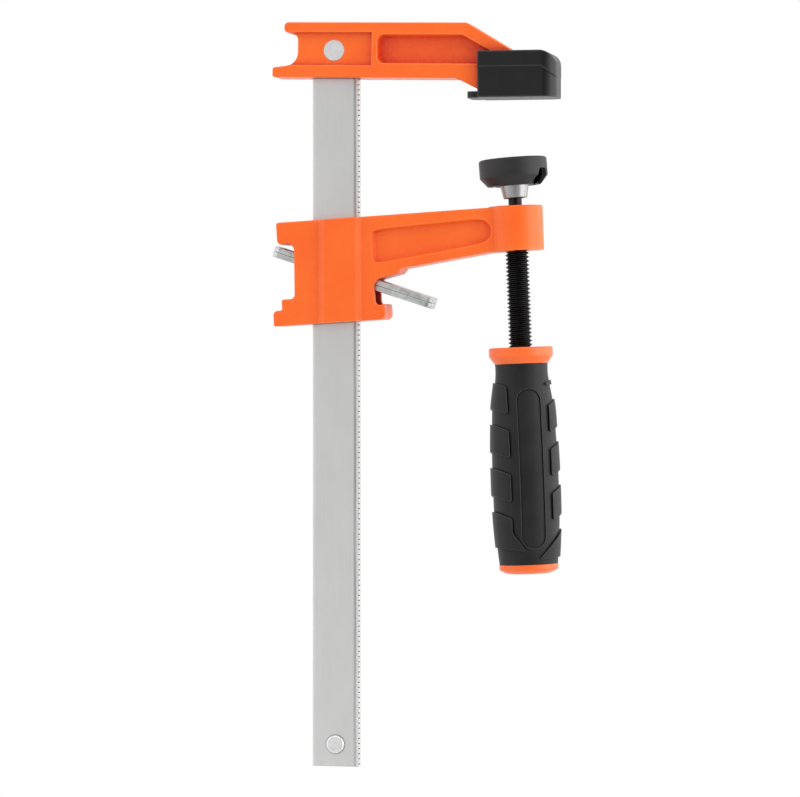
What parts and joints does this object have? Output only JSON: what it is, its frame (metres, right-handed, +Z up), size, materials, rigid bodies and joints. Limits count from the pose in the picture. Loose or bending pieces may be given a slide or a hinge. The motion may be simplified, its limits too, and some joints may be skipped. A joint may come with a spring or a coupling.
{
  "type": "bar clamp",
  "caption": "Light steel bar clamp with cast jaws, disc clutch, threaded spindle with swivel pad, soft cap on the fixed jaw and a two-material screwdriver-style handle.",
  "frame": {"origin": "middle of the fixed jaw's clamping face, on the soft cap's underside", "axes": "+Z up along the bar towards the fixed jaw, +X from the bar out to the jaw tips, -Y towards the viewer (the flat front side)"},
  "size_m": [0.1175, 0.0272, 0.2996],
  "materials": {
    "casting": "satin orange paint over a sand casting",
    "bar_steel": "dull zinc-plated cold-rolled steel",
    "pin_steel": "plain headed steel",
    "disc_steel": "zinc-plated stamping",
    "screw_steel": "black oxide",
    "socket_steel": "bright plated steel",
    "pad": "matte soft plastic",
    "handle_plastic": "smooth orange plastic",
    "grip": "matte soft grip"
  },
  "bodies": {
    "frame": {"bar": "bar_steel", "bar_stop_pin": "pin_steel", "fixed_jaw": "casting", "fixed_jaw_rivet": "pin_steel", "fixed_jaw_pad": "pad"},
    "slider": {"sliding_jaw": "casting"},
    "clutch": {"clutch_disc_upper": "disc_steel", "clutch_disc_lower": "disc_steel"},
    "screw_carrier": {"swivel_ball": "screw_steel"},
    "screw": {"spindle": "screw_steel", "handle_core": "handle_plastic", "handle_grip": "grip", "handle_end_plug": "handle_plastic"},
    "pad": {"swivel_socket": "socket_steel", "swivel_pad": "pad"}
  },
  "joints": [
    {"name": "jaw_slide", "type": "slide", "parent": "frame", "child": "slider", "axis": [0, 0, 1], "range_m": [-0.165, 0.006]},
    {"name": "clutch_release", "type": "hinge", "parent": "slider", "child": "clutch", "pos_m": [-0.05513, 0, -0.07221], "axis": [0, -1, 0], "range_deg": [0, 12], "stiffness_Nm_per_rad": 0.03, "springref_deg": -22.92},
    {"name": "screw_advance", "type": "slide", "parent": "slider", "child": "screw_carrier", "axis": [-0.0384, 0, 0.9993], "range_m": [-0.00159, 0.01429]},
    {"name": "screw_turn", "type": "hinge", "parent": "screw_carrier", "child": "screw", "pos_m": [0.0004, 0, -0.0608], "axis": [-0.0384, 0, 0.9993], "range_deg": [-360, 3240]},
    {"name": "pad_swivel", "type": "hinge", "parent": "screw_carrier", "child": "pad", "pos_m": [-0.00058, 0, -0.03532], "axis": [0, -1, 0], "range_deg": [-12.4, 8]}
  ],
  "couplings": [
    {"joint": "screw_turn", "follows": "screw_advance", "rad_per_m": 3957.9}
  ]
}
